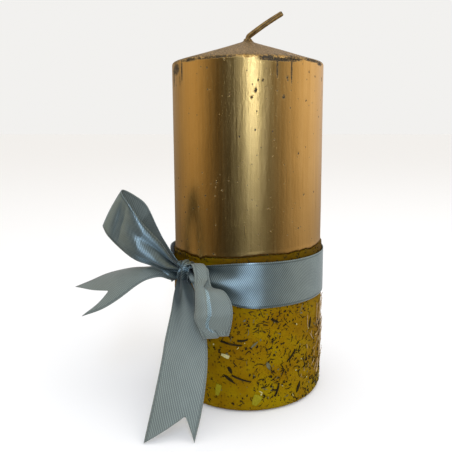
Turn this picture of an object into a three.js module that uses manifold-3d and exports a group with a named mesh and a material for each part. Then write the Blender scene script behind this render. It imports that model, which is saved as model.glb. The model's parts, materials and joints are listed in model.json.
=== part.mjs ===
// Pillar candle: a wax core under a gold skin and an olive herb-wax sleeve, with a satin
// ribbon tied round it in a bow. Millimetres, +Z up, origin at the centre of the base,
// front towards -Y. Angles round the candle are degrees from the front, positive towards +X.
import * as THREE from 'three';
import Module from 'manifold-3d';
import { mergeVertices } from 'three/addons/utils/BufferGeometryUtils.js';

const wasm = await Module();
wasm.setup();

// ---------------------------------------------------------------- driving dimensions
const candleRadius = 35;
const rimHeight = 153.8;
const coneRise = 10.7;
const rimRound = 1.4;
const touchGap = 0.3;

const goldWall = 0.5;
const goldEdgeHeight = 69.9;
const goldEdgeSlope = 1.7;
const goldEdgeRipple = 0.35;
const stepRun = 0.5;

const sleeveProud = 0.8;
const sleeveWall = 1.3;
const baseRound = 3;

const wickRadius = 1.3;
const wickClearance = 0.35;
const wickRise = 1;
const wickElbow = 2;
const wickBend = 57;
const wickStraight = 17.9;

const sustainerRadius = 8;
const sustainerPlate = 0.6;
const sustainerNeckRadius = 2.4;
const sustainerNeckHeight = 6;
const sustainerClearance = 0.35;

const ribbonWidth = 20;
const ribbonThickness = 0.5;
const ribbonClearance = 0.35;
const bandHeight = 57.9;

const knotAngle = -45.5;
const knotHeight = 61.6;
const knotHalfWidth = 5.0;
const knotHalfDepth = 3.3;
const knotHalfHeight = 4.5;
const tailLift = 0.6;

const herbThickness = 0.6;
const herbProud = 0.2;
const herbClearance = 0.3;

const roundSteps = 72;

// ---------------------------------------------------------------- worked-out sizes
const sleeveRadius = candleRadius + sleeveProud;
const sleeveInner = sleeveRadius - sleeveWall;
const coreUpper = candleRadius - goldWall - touchGap;
const coreLower = sleeveInner - touchGap;
const bandRadius = sleeveRadius + ribbonClearance + ribbonThickness / 2;
const knotRadius = bandRadius - ribbonThickness / 2 + knotHalfDepth;

const radians = THREE.MathUtils.degToRad;

// A point on the candle at an angle from the front, a radius and a height.
function around(degrees, radius, height) {
  const a = radians(degrees);
  return new THREE.Vector3(radius * Math.sin(a), -radius * Math.cos(a), height);
}

// Height of the gold skin's lower lip: it climbs from left to right with a small ripple.
function goldEdge(degrees) {
  const a = radians(degrees);
  const ripple = Math.sin(5 * a + 0.6) + 0.6 * Math.sin(11 * a);
  return goldEdgeHeight + goldEdgeSlope * Math.sin(a) + goldEdgeRipple * ripple;
}

// ---------------------------------------------------------------- solids and cuts
function bare(geometry) {
  const copy = geometry.clone();
  copy.deleteAttribute('normal');
  copy.deleteAttribute('uv');
  return mergeVertices(copy, 1e-4);
}

function toSolid(geometry) {
  const merged = bare(geometry);
  return new wasm.Manifold(new wasm.Mesh({
    numProp: 3,
    vertProperties: new Float32Array(merged.attributes.position.array),
    triVerts: new Uint32Array(merged.index.array),
  }));
}

function toGeometry(solid) {
  const mesh = solid.getMesh();
  const geometry = new THREE.BufferGeometry();
  geometry.setAttribute('position', new THREE.BufferAttribute(mesh.vertProperties, 3));
  geometry.setIndex(new THREE.BufferAttribute(mesh.triVerts, 1));
  geometry.computeVertexNormals();
  return geometry;
}

function cut(geometry, cutters) {
  return toGeometry(cutters.reduce(
    (solid, cutter) => solid.subtract(toSolid(cutter)),
    toSolid(geometry),
  ));
}

// A turned solid from a list of [radius, height] pairs, with its axis on Z.
function turned(profile, steps = roundSteps) {
  const points = profile.map(([radius, height]) => new THREE.Vector2(radius, height));
  const geometry = new THREE.LatheGeometry(points, steps);
  geometry.rotateX(Math.PI / 2);
  return geometry;
}

// Points of an arc in the [radius, height] plane, for a rounded corner of a profile.
function corner(centreRadius, centreHeight, size, fromDegrees, toDegrees, steps = 4) {
  const points = [];
  for (let i = 0; i <= steps; i += 1) {
    const a = radians(fromDegrees + ((toDegrees - fromDegrees) * i) / steps);
    points.push([centreRadius + size * Math.cos(a), centreHeight + size * Math.sin(a)]);
  }
  return points;
}

// ---------------------------------------------------------------- wick and sustainer
// The wick runs straight up the channel and leans over to the right above the cone.
const wickFoot = sustainerPlate + touchGap;
const coneTip = rimHeight + coneRise;

function wickPath() {
  const lean = radians(wickBend);
  const bendStart = new THREE.Vector3(0, 0, coneTip + wickRise);
  const bendCorner = bendStart.clone().setZ(bendStart.z + wickElbow * Math.tan(lean / 2));
  const ahead = new THREE.Vector3(Math.sin(lean), 0, Math.cos(lean));
  const bendEnd = bendCorner.clone().addScaledVector(ahead, wickElbow * Math.tan(lean / 2));
  const tip = bendEnd.clone().addScaledVector(ahead, wickStraight);
  const path = new THREE.CurvePath();
  path.add(new THREE.LineCurve3(new THREE.Vector3(0, 0, wickFoot), bendStart));
  path.add(new THREE.QuadraticBezierCurve3(bendStart, bendCorner, bendEnd));
  path.add(new THREE.LineCurve3(bendEnd, tip));
  return path;
}

function makeWick() {
  const section = new THREE.Shape();
  section.absarc(0, 0, wickRadius, 0, 2 * Math.PI, false);
  return new THREE.ExtrudeGeometry(section, {
    curveSegments: 5,
    steps: 60,
    extrudePath: wickPath(),
    bevelEnabled: false,
  });
}

function makeSustainer() {
  const bore = wickRadius + wickClearance;
  return turned([
    [0, 0],
    [sustainerRadius, 0],
    [sustainerRadius, sustainerPlate],
    [sustainerNeckRadius, sustainerPlate],
    [sustainerNeckRadius, sustainerNeckHeight],
    [bore, sustainerNeckHeight],
    [bore, sustainerPlate],
    [0, sustainerPlate],
  ], 32);
}

// ---------------------------------------------------------------- wax
// The core: a cylinder with a low cone, a channel for the wick, and a recess below it
// for the sustainer. Its foot is set in by the sleeve's rounded base, and it changes from
// the sleeve's bore to the gold skin's over a short slope clear of the gold lip.
function makeCore() {
  const channel = wickRadius + wickClearance;
  const recess = sustainerRadius + sustainerClearance;
  const recessTop = sustainerPlate + sustainerClearance;
  const neck = sustainerNeckRadius + sustainerClearance;
  const neckTop = sustainerNeckHeight + sustainerClearance;
  const foot = sleeveRadius - baseRound - touchGap;
  const footRound = Math.max(0.2, baseRound - sleeveWall - touchGap);
  const skin = goldWall + touchGap;
  const slope = coneRise / candleRadius;
  const shoulder = rimHeight - skin;
  const coneAt = (radius) => shoulder + slope * (coreUpper - radius);
  const lipSwing = goldEdgeSlope + 1.6 * goldEdgeRipple + stepRun;
  const stepHeight = goldEdgeHeight + (coreUpper > coreLower ? lipSwing : -lipSwing);
  return turned([
    [recess, 0],
    [foot, 0],
    [foot, baseRound - footRound],
    ...corner(coreLower - footRound, baseRound, footRound, -90, 0).slice(1),
    [coreLower, stepHeight - stepRun],
    [coreUpper, stepHeight + stepRun],
    [coreUpper, shoulder - rimRound],
    [coreUpper - rimRound * 0.3, shoulder - rimRound * 0.3],
    [coreUpper - rimRound, coneAt(coreUpper - rimRound)],
    [channel, coneAt(channel)],
    [channel, neckTop],
    [neck, neckTop],
    [neck, recessTop],
    [recess, recessTop],
    [recess, 0],
  ]);
}

// The gold skin: a cap over cone, rim and side, with a hole for the wick and a wavy lip.
function makeGoldCoat() {
  const inner = candleRadius - goldWall;
  const hole = wickRadius + wickClearance;
  const slope = coneRise / candleRadius;
  const under = (radius) => rimHeight - goldWall + slope * (inner - radius);
  const over = (radius) => rimHeight + slope * (candleRadius - radius);
  const geometry = turned([
    [inner, goldEdgeHeight],
    [candleRadius, goldEdgeHeight],
    [candleRadius, rimHeight / 2 + goldEdgeHeight / 2],
    ...corner(candleRadius - rimRound, rimHeight - rimRound, rimRound, 0, 65),
    [candleRadius / 2, over(candleRadius / 2)],
    [hole, over(hole)],
    [hole, under(hole)],
    [inner - rimRound, under(inner - rimRound)],
    [inner - rimRound * 0.3, rimHeight - goldWall - rimRound * 0.3],
    [inner, rimHeight - goldWall - rimRound],
    [inner, goldEdgeHeight],
  ]);
  waveEdge(geometry, goldEdgeHeight, 0);
  return geometry;
}

// Moves the ring of points at a flat edge to the wavy height of the gold skin's lip.
function waveEdge(geometry, edgeHeight, drop) {
  const position = geometry.attributes.position;
  for (let i = 0; i < position.count; i += 1) {
    if (Math.abs(position.getZ(i) - edgeHeight) < 1e-3) {
      const degrees = THREE.MathUtils.radToDeg(Math.atan2(position.getX(i), -position.getY(i)));
      position.setZ(i, goldEdge(degrees) - drop);
    }
  }
  return geometry;
}

// The olive sleeve: it stands proud of the gold skin, meets its lip, and rounds in at the base.
function makeSleeve() {
  const foot = sleeveRadius - baseRound;
  const footRound = Math.max(0.2, baseRound - sleeveWall);
  const top = goldEdgeHeight - touchGap;
  const geometry = turned([
    [foot, baseRound - footRound],
    [foot, 0],
    ...corner(foot, baseRound, baseRound, -90, 0, 5).slice(1),
    [sleeveRadius, bandHeight - ribbonWidth / 2],
    [sleeveRadius, top - 1],
    [sleeveRadius - 0.5, top],
    [sleeveInner, top],
    ...corner(sleeveInner - footRound, baseRound, footRound, 0, -90),
  ]);
  return waveEdge(geometry, top, touchGap);
}

// ---------------------------------------------------------------- ribbon
// A strip of ribbon between two edge routes. A thin box is bent so that its sides follow the
// routes; crown lifts the middle, and notch is the depth of a dovetail cut at the far end.
function strip(sideA, sideB, options = {}) {
  const { steps = 24, across = 4, crown = 0, notch = 0, notchAt = 0.5 } = options;
  const edgeA = new THREE.CatmullRomCurve3(sideA, false, 'centripetal');
  const edgeB = new THREE.CatmullRomCurve3(sideB, false, 'centripetal');
  const box = new THREE.BoxGeometry(1, 1, 1, across, steps, 1);
  const position = box.attributes.position;
  const length = (edgeA.getLength() + edgeB.getLength()) / 2;
  const middle = (u, v) => edgeA.getPoint(v).lerp(edgeB.getPoint(v), u);
  for (let i = 0; i < position.count; i += 1) {
    const u = 0.5 - position.getX(i);
    const along = position.getY(i) + 0.5;
    const bite = 1 - Math.abs(u - notchAt) / (u < notchAt ? notchAt : 1 - notchAt);
    const v = along * (1 - (notch / length) * bite);
    const step = 1e-3;
    const here = middle(u, v);
    const ahead = middle(u, Math.min(1, v + step)).sub(middle(u, Math.max(0, v - step)));
    const sideways = middle(1, v).sub(middle(0, v));
    const normal = ahead.cross(sideways).normalize();
    const lift = crown * Math.sin(Math.PI * u) * Math.sin(Math.PI * Math.min(1, v));
    const point = here.addScaledVector(normal, lift + position.getZ(i) * ribbonThickness);
    position.setXYZ(i, point.x, point.y, point.z);
  }
  return box;
}

// The knot sits against the candle; everything that enters it is trimmed to its face.
const knotCentre = around(knotAngle, knotRadius, knotHeight);

function knotBall(grow = 0) {
  const ball = new THREE.SphereGeometry(1, 28, 18);
  ball.scale(knotHalfWidth + grow, knotHalfDepth + grow, knotHalfHeight + grow);
  ball.rotateZ(radians(knotAngle));
  ball.translate(knotCentre.x, knotCentre.y, knotCentre.z);
  return ball;
}

// The wrap has shallow pleats round it, where the ribbon is pulled together.
function makeKnot() {
  const ball = new THREE.SphereGeometry(1, 28, 18);
  const position = ball.attributes.position;
  for (let i = 0; i < position.count; i += 1) {
    const x = position.getX(i);
    const pleat = 1 - 0.05 * (1 + Math.sin(9 * x + 4 * position.getY(i)));
    position.setXYZ(i, x, position.getY(i) * pleat, position.getZ(i) * pleat);
  }
  ball.scale(knotHalfWidth, knotHalfDepth, knotHalfHeight);
  ball.rotateZ(radians(knotAngle));
  ball.translate(knotCentre.x, knotCentre.y, knotCentre.z);
  return bare(ball);
}

// The loops and tails leave the knot, so their routes are given from its middle.
function fromKnot(list) {
  return list.map(([x, y, z]) => new THREE.Vector3(x, y, z).add(knotCentre));
}

// The front tail's points rest on the table, so its drop follows the knot's height.
function fromKnotToTable(list) {
  const drop = -list[list.length - 1][2];
  const stretch = (knotHeight - tailLift) / drop;
  return list.map(([x, y, z]) => new THREE.Vector3(x, y, z * stretch).add(knotCentre));
}

// The band goes round the candle and narrows as its pleats gather into the knot.
function bandRoute(side) {
  const start = knotAngle + 5;
  const end = knotAngle + 355;
  const list = [];
  const count = 30;
  for (let i = 0; i <= count; i += 1) {
    const degrees = start + ((end - start) * i) / count;
    const fromKnot = Math.min(degrees - start, end - degrees);
    const gather = Math.max(0, 1 - fromKnot / 42) ** 1.6;
    const half = (ribbonWidth / 2) * (1 - 0.72 * gather);
    const height = bandHeight + (knotHeight - bandHeight) * gather;
    list.push(around(degrees, bandRadius + 1.9 * gather, height + side * half));
  }
  return list;
}

function makeBand() {
  return strip(bandRoute(1), bandRoute(-1), { steps: 80, across: 2 });
}

const loopLeftTop = [
  [-1.5, -0.5, 2], [-5.5, -3, 8.5], [-9, -5, 14.5], [-15.5, -6, 22], [-21.5, -5, 30],
  [-25.5, -2, 35], [-25.5, 2, 36], [-21.5, 6, 33], [-17, 8, 28.5], [-13, 8, 19.5],
  [-9, 6, 12], [-4.5, 3.5, 5.5], [-1, 1.5, 2.5],
];
const loopLeftFoot = [
  [-0.5, -0.5, 0.5], [-7.5, -1.5, 1.5], [-14, -3, 4], [-20.5, -3.5, 6.5], [-26.5, -3, 11],
  [-32.5, -1, 16.5], [-35.5, 3, 20], [-35.5, 8, 16], [-30, 10.5, 11], [-22.5, 10, 8],
  [-14.5, 8, 5], [-8, 4.5, 3], [-1.5, 2, 1],
];
const loopRightOuter = [
  [1.5, -3.5, 3], [4.5, -8, 4.5], [6, -11, 1.5], [6.5, -14, -3], [7, -16.5, -6.5],
  [7, -18, -11], [7, -19, -15], [9.5, -19, -21.5], [10.5, -17, -22.5], [9, -14.5, -17],
  [7.5, -13, -10.5], [6, -10.5, -5.5], [3.5, -7.5, -1.5], [1.5, -4, 0.5],
];
const loopRightInner = [
  [2, -2.5, 3.5], [10.5, -8.5, 5], [12, -12.5, 1], [13.5, -14.5, -2.5], [18.5, -17, -3.5],
  [21.5, -20, -7.5], [22, -21.5, -13], [20.5, -20.5, -21], [20, -17.5, -21.5],
  [19.5, -15.5, -17], [17.5, -13.5, -10], [13, -11.5, -5.5], [8.5, -9, -1.5], [3, -4, 1],
];
const tailFrontLeft = [
  [-2, -1, -2], [-2.5, -4, -5], [-3.5, -7, -9], [-4.5, -9.5, -15], [-6.5, -14.5, -25],
  [-7.5, -18.5, -32.5], [-9.5, -23.5, -43.5], [-11.5, -28, -53.5], [-13, -31.5, -61],
];
const tailFrontRight = [
  [0.5, -2, -2], [3.5, -5.5, -3.5], [6, -8.5, -7], [9, -11.5, -15], [11, -14.5, -25],
  [11.5, -18.5, -34], [11, -23, -41.5], [9.5, -27.5, -51], [7, -31.5, -61],
];
const tailLeftTop = [
  [-1, 0.5, -0.5], [-5, 0.5, 1], [-10.5, 2, 1.5], [-17.5, 4.5, 1], [-25, 7, 0],
  [-35.5, 9.5, -3], [-44.5, 10.5, -7], [-51.5, 11, -10],
];
const tailLeftFoot = [
  [-0.5, 0, -3], [-5, -1.5, -3], [-9.5, -2.5, -1], [-14.5, -3.5, -2], [-20, -4, -5],
  [-28, -4.5, -11], [-35.5, -4.5, -15.5], [-44.5, -3.5, -19],
];

// Each ribbon piece is trimmed to the knot, with the gap that touching pieces keep.
function trimmed(geometry, others = []) {
  return cut(geometry, [knotBall(touchGap), ...others]);
}

function makeLoopLeft() {
  const options = { steps: 44, across: 4, crown: -0.6 };
  return trimmed(strip(fromKnot(loopLeftTop), fromKnot(loopLeftFoot), options));
}

function makeLoopRight() {
  const options = { steps: 44, across: 4, crown: -1.2 };
  return trimmed(strip(fromKnot(loopRightOuter), fromKnot(loopRightInner), options));
}

function makeTailFront() {
  const options = { steps: 20, across: 10, crown: -0.8, notch: 8.5, notchAt: 0.7 };
  return trimmed(strip(fromKnotToTable(tailFrontLeft), fromKnotToTable(tailFrontRight), options));
}

function makeTailLeft() {
  const options = { steps: 18, across: 9, crown: -0.8, notch: 13, notchAt: 2 / 3 };
  return trimmed(strip(fromKnot(tailLeftTop), fromKnot(tailLeftFoot), options));
}

// ---------------------------------------------------------------- pressed herbs
// Each herb is a flat outline laid on the sleeve and pressed in, turned by its own angle.
function leafOutline(length, width) {
  const shape = new THREE.Shape();
  shape.moveTo(-length / 2, 0);
  shape.quadraticCurveTo(-length * 0.1, -width * 0.95, length / 2, 0);
  shape.quadraticCurveTo(-length * 0.1, width * 0.95, -length / 2, 0);
  return shape;
}

function stemOutline(length, width) {
  const shape = new THREE.Shape();
  const sag = width * 0.8;
  shape.moveTo(-length / 2, -width / 2);
  shape.quadraticCurveTo(0, -width / 2 - sag, length / 2, -width * 0.3);
  shape.lineTo(length / 2, width * 0.3);
  shape.quadraticCurveTo(0, width / 2 - sag, -length / 2, width / 2);
  shape.closePath();
  return shape;
}

function petalOutline(length, width) {
  const shape = new THREE.Shape();
  shape.moveTo(-length / 2, -width * 0.25);
  shape.quadraticCurveTo(0, -width * 0.55, length / 2, -width * 0.5);
  shape.quadraticCurveTo(length * 0.58, 0, length / 2, width * 0.5);
  shape.quadraticCurveTo(0, width * 0.55, -length / 2, width * 0.25);
  shape.closePath();
  return shape;
}

const outlines = { leaf: leafOutline, stem: stemOutline, petal: petalOutline };

// Name, outline, angle round the candle, height, length, width, turn from level, colour.
const herbs = [
  ['herb_stem_long', 'stem', -11.5, 31.8, 9.5, 0.9, -8, 0x1b1508],
  ['herb_needle_short', 'stem', -3.5, 33.6, 4.6, 0.9, 9, 0x2a2a14],
  ['herb_needle_grey', 'leaf', 4.5, 31.5, 4.2, 1.0, 42, 0x3a3d22],
  ['petal_white', 'petal', -16, 25.9, 3.6, 1.6, -16, 0xa99a4c],
  ['herb_flake_brown', 'leaf', -12.4, 19.6, 3.6, 1.6, -62, 0x3d2a0b],
  ['herb_leaf_dark', 'leaf', -13, 15.4, 6.6, 1.3, -35, 0x17120a],
  ['herb_fibre_curved', 'stem', -4.5, 15.9, 9.0, 0.7, -18, 0x3b2d0c],
  ['petal_yellow', 'petal', 6, 5.9, 4.8, 3.8, 64, 0xb3a626],
  ['petal_pale_left', 'petal', -21.5, 9.6, 5.2, 2.6, 78, 0x8f8116],
  ['herb_leaf_upper', 'leaf', 19, 41.6, 4.6, 1.2, -28, 0x1d170a],
  ['herb_leaf_grey', 'leaf', 14.5, 21.4, 4.2, 1.8, -70, 0x4d4b32],
  ['herb_stem_right', 'stem', 21, 9.8, 6.2, 0.9, 72, 0x241c0b],
  ['herb_leaf_right', 'leaf', 39.6, 8.2, 5.4, 1.5, 66, 0x2d230e],
  ['herb_stem_angled', 'stem', 33, 24.5, 5.8, 0.9, 48, 0x1f190b],
  ['straw_right_upper', 'stem', 71, 38.5, 9.5, 1.3, 80, 0xa8854a],
  ['straw_right_lower', 'stem', 74, 22, 8.5, 1.2, 97, 0x9c7a44],
  ['straw_right_base', 'stem', 67, 12.5, 6.5, 1.1, 68, 0x8d6f3c],
  ['herb_leaf_side', 'leaf', 52, 36.5, 5.2, 1.5, 78, 0x15100a],
];

// The flat outline, extruded between two radii and bent round the candle.
function pressed([, kind, angle, height, length, width, turn], inner, outer, grow) {
  const shape = outlines[kind](length + 2 * grow, width + 2 * grow);
  const plate = new THREE.ExtrudeGeometry(shape, {
    depth: outer - inner,
    bevelEnabled: false,
    curveSegments: 4,
  });
  plate.rotateZ(radians(turn));
  const position = plate.attributes.position;
  for (let i = 0; i < position.count; i += 1) {
    const radius = inner + position.getZ(i);
    const along = THREE.MathUtils.radToDeg(position.getX(i) / sleeveRadius);
    const point = around(angle + along, radius, height + position.getY(i));
    position.setXYZ(i, point.x, point.y, point.z);
  }
  return plate;
}

const herbOuter = sleeveRadius + herbProud;
const herbInner = herbOuter - herbThickness;

function makeHerb(herb) {
  return bare(pressed(herb, herbInner, herbOuter, 0));
}

function herbPocket(herb) {
  return pressed(herb, herbInner - herbClearance, herbOuter + 1, herbClearance);
}

// ---------------------------------------------------------------- assembly
function finish(color, roughness, metalness) {
  return new THREE.MeshStandardMaterial({ color, roughness, metalness });
}

const candle = new THREE.Group();
const ribbon = new THREE.Group();
const object = new THREE.Group();
object.add(candle, ribbon);

function place(group, name, geometry, material) {
  const mesh = new THREE.Mesh(geometry, material);
  mesh.name = name;
  group.add(mesh);
}

place(candle, 'wax_pillar', makeCore(), finish(0x8a7a1c, 0.55, 0));
place(candle, 'gold_coat', makeGoldCoat(), finish(0xa87c3c, 0.38, 0.9));
place(candle, 'herb_wax_sleeve', cut(makeSleeve(), herbs.map(herbPocket)), finish(0x7d6a05, 0.45, 0));
place(candle, 'wick', makeWick(), finish(0x8a6a30, 0.8, 0));
place(candle, 'wick_sustainer', makeSustainer(), finish(0xb9bcc0, 0.35, 1));
for (const herb of herbs) {
  place(candle, herb[0], makeHerb(herb), finish(herb[7], 0.85, 0));
}

const satin = finish(0x76898e, 0.42, 0);
place(ribbon, 'ribbon_band', trimmed(makeBand()), satin);
place(ribbon, 'ribbon_knot', makeKnot(), satin);
place(ribbon, 'ribbon_loop_left', makeLoopLeft(), satin);
place(ribbon, 'ribbon_loop_right', makeLoopRight(), satin);
place(ribbon, 'ribbon_tail_left', makeTailLeft(), satin);
place(ribbon, 'ribbon_tail_front', makeTailFront(), satin);

export default object;
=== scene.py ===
import json
import math
import random

import bmesh
import bpy
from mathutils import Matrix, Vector, noise


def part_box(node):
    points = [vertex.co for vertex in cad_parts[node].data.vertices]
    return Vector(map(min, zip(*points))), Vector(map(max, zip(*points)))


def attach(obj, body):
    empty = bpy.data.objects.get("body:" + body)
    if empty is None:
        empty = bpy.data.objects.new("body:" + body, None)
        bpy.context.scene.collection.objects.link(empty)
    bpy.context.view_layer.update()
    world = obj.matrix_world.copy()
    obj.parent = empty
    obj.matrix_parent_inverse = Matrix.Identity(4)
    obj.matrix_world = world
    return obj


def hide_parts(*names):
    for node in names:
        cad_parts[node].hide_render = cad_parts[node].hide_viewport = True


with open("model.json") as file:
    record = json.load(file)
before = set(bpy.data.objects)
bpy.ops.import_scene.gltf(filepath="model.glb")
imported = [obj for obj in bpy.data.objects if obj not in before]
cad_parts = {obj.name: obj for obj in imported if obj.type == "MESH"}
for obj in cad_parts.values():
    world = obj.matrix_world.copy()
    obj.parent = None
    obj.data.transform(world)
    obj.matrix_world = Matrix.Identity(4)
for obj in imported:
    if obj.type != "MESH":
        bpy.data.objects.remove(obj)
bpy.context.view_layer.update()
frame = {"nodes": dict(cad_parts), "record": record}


# ------------------------------------------------------------------ camera, light and floor
# The candle is looked at from a little above its shoulder, close to, on a pale table top.
# A tall cool softbox stands well behind the camera, and a broad one above on the right.
mm = 0.001


def new_material(name):
    """A material and its Principled shader."""
    material = bpy.data.materials.new(name)
    material.use_nodes = True
    return material, material.node_tree.nodes["Principled BSDF"]


def add_node(owner, kind, inputs=None, **settings):
    """One more node for a material or the room; an input is a value or another's output."""
    tree = owner.node_tree
    made = tree.nodes.new("ShaderNode" + kind)
    for name, value in settings.items():
        setattr(made, name, value)
    for name, value in (inputs or {}).items():
        if isinstance(value, bpy.types.NodeSocket):
            tree.links.new(value, made.inputs[name])
        else:
            made.inputs[name].default_value = value
    return made


def feed(material, shader, **links):
    """Links outputs to the shader's inputs: underscores in the names stand for spaces."""
    for name, socket in links.items():
        material.node_tree.links.new(socket, shader.inputs[name.replace("_", " ")])


def soft_light(name, place, aim, width, height, watts, colour):
    """A rectangular softbox at a place, turned to face the aim point."""
    lamp = bpy.data.lights.new(name, "AREA")
    lamp.shape = "RECTANGLE"
    lamp.size = width
    lamp.size_y = height
    lamp.energy = watts
    lamp.color = colour
    box = bpy.data.objects.new(name, lamp)
    box.location = place
    box.rotation_euler = (Vector(aim) - Vector(place)).to_track_quat("-Z", "Y").to_euler()
    bpy.context.scene.collection.objects.link(box)
    return box


camera_data = bpy.data.cameras.new("camera")
camera_data.lens = 41.73
camera_data.sensor_width = 36
camera_data.shift_x = -0.0482
camera_data.shift_y = -0.0451
camera_data.clip_start = 0.01
camera_data.clip_end = 100
camera = bpy.data.objects.new("camera", camera_data)
camera.location = (0, -0.25112, 0.12236)
camera.rotation_euler = (math.radians(90 - 7.99), 0, 0)
bpy.context.scene.collection.objects.link(camera)
bpy.context.scene.camera = camera
bpy.context.scene.view_settings.view_transform = "Standard"

middle = (0, 0, 0.10)
soft_light("front_strip", (0.11, -0.90, 0.53), middle, 0.09, 1.00, 5.0, (0.62, 0.76, 1.0))
overhead = soft_light("overhead", (0.35, -0.25, 0.90), middle, 0.7, 0.7, 1.6, (1.0, 0.98, 0.95))
overhead.visible_glossy = False

# The room round the table: azimuth from the front in degrees, and the colour of the soft
# wall there. Warm screens stand to the left and right of the candle, with dark gaps.
room_walls = [
    (-180, (0.42, 0.385, 0.355)), (-122, (0.23, 0.19, 0.13)), (-87, (0.80, 0.62, 0.39)),
    (-54, (0.05, 0.035, 0.012)), (-33, (0.010, 0.008, 0.003)), (-13, (0.07, 0.075, 0.075)),
    (6, (0.20, 0.22, 0.24)), (24, (0.10, 0.11, 0.105)), (41, (0.055, 0.050, 0.035)),
    (72, (0.66, 0.55, 0.42)), (108, (1.0, 0.88, 0.80)), (180, (0.42, 0.385, 0.355))]
dome_white = (1.0, 0.99, 0.97, 1)
floor_white = 0.93
far_floor_share = 0.955
floor_half = 30.0

world = bpy.data.worlds.new("studio")
bpy.context.scene.world = world
world.use_nodes = True
toward = add_node(world, "SeparateXYZ", {
    "Vector": add_node(world, "TexCoord").outputs["Generated"]}).outputs
to_front = add_node(world, "Math", {0: toward["Y"], 1: -1.0}, operation="MULTIPLY").outputs[0]
bearing = add_node(world, "Math", {0: toward["X"], 1: to_front}, operation="ARCTAN2").outputs[0]
round_room = add_node(world, "MapRange", {
    "Value": bearing, "From Min": -math.pi, "From Max": math.pi})
walls = add_node(world, "ValToRGB", {"Fac": round_room.outputs[0]})
walls.color_ramp.interpolation = "B_SPLINE"
while len(walls.color_ramp.elements) < len(room_walls):
    walls.color_ramp.elements.new(0.5)
for stop, (wall_bearing, wall_colour) in zip(walls.color_ramp.elements, room_walls):
    stop.position = (wall_bearing + 180) / 360
    stop.color = (*wall_colour, 1)
wall_light = add_node(world, "MapRange", {
    "Value": toward["Z"], "From Min": -0.30, "From Max": 0.12,
    "To Min": 0.45, "To Max": 1.35}, interpolation_type="SMOOTHSTEP")
wall = add_node(world, "Background", {
    "Color": walls.outputs[0], "Strength": wall_light.outputs[0]})
ceiling_glow = add_node(world, "MapRange", {
    "Value": toward["X"], "From Min": -0.7, "From Max": 0.7, "To Min": 0.46, "To Max": 1.15})
ceiling = add_node(world, "Background", {
    "Color": (1, 0.92, 0.84, 1), "Strength": ceiling_glow.outputs[0]})
upward = add_node(world, "MapRange", {"Value": toward["Z"], "From Min": 0.40, "From Max": 0.75})
enclosed = add_node(world, "MixShader", {
    "Fac": upward.outputs[0], 1: wall.outputs[0], 2: ceiling.outputs[0]})
dome = add_node(world, "Background", {"Color": dome_white})
backdrop = add_node(world, "Background", {
    "Color": dome_white, "Strength": far_floor_share * floor_white})
ray = add_node(world, "LightPath").outputs
softened = add_node(world, "MixShader", {
    "Fac": ray["Is Diffuse Ray"], 1: enclosed.outputs[0], 2: dome.outputs[0]})
lit = add_node(world, "MixShader", {
    "Fac": ray["Is Camera Ray"], 1: softened.outputs[0], 2: backdrop.outputs[0]})
world.node_tree.links.new(lit.outputs[0], world.node_tree.nodes["World Output"].inputs["Surface"])

floor_sheet = bmesh.new()
bmesh.ops.create_grid(floor_sheet, x_segments=2, y_segments=2, size=floor_half)
floor_mesh = bpy.data.meshes.new("floor")
floor_sheet.to_mesh(floor_mesh)
floor_sheet.free()
floor = bpy.data.objects.new("floor", floor_mesh)
bpy.context.scene.collection.objects.link(floor)
floor_paint, floor_shader = new_material("pale_floor")
floor_shader.inputs["Base Color"].default_value = (floor_white, floor_white, floor_white, 1)
floor_shader.inputs["Roughness"].default_value = 0.9
floor_shader.inputs["Specular IOR Level"].default_value = 0.0
floor.data.materials.append(floor_paint)
floor.visible_glossy = False


# ------------------------------------------------------------------ wax pillar
# The poured core of the candle. Only its underside shows, round the wick's metal foot.
# It is the same olive wax as the sleeve, a little paler, smooth from the mould.
def object_position(material, scale=(1, 1, 1)):
    """Object coordinates in metres, stretched along each axis by its own scale."""
    place = add_node(material, "TexCoord").outputs["Object"]
    mapped = add_node(material, "Mapping", {"Vector": place, "Scale": scale})
    return mapped.outputs["Vector"]


def grain(material, scale, detail=3.0, rough=0.5, stretch=(1, 1, 1)):
    """Noise at a number of waves per metre, stretched along the axes."""
    return add_node(material, "TexNoise", {
        "Vector": object_position(material, stretch),
        "Scale": scale, "Detail": detail, "Roughness": rough,
    }).outputs["Fac"]


def blend_colours(material, amount, stops):
    """Turns a 0 to 1 amount into a colour, along a list of (position, colour) stops."""
    ramp = add_node(material, "ValToRGB", {"Fac": amount})
    band = ramp.color_ramp
    while len(band.elements) < len(stops):
        band.elements.new(0.5)
    for element, (position, colour) in zip(band.elements, stops):
        element.position = position
        element.color = (*colour, 1)
    return ramp.outputs["Color"]


def math_node(material, operation, first, second):
    """One sum on two numbers or outputs."""
    return add_node(material, "Math", {0: first, 1: second}, operation=operation).outputs[0]


def mix_colours(material, amount, first, second, blend_type="MIX"):
    """Blends a second colour into a first. Sockets 6, 7 and 2 are the Mix node's colours."""
    return add_node(material, "Mix", {"Factor": amount, 6: first, 7: second},
                    data_type="RGBA", blend_type=blend_type).outputs[2]


def in_range(material, value, low, high, out_low=0.0, out_high=1.0):
    """Maps low..high to out_low..out_high, held at the ends."""
    return add_node(material, "MapRange", {
        "Value": value, "From Min": low, "From Max": high,
        "To Min": out_low, "To Max": out_high,
    }).outputs["Result"]


def bump(material, height, distance, strength=1.0, under=None):
    """A bump of a real depth in metres, over another bump if there is one."""
    inputs = {"Height": height, "Distance": distance, "Strength": strength}
    if under is not None:
        inputs["Normal"] = under
    return add_node(material, "Bump", inputs).outputs["Normal"]


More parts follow.
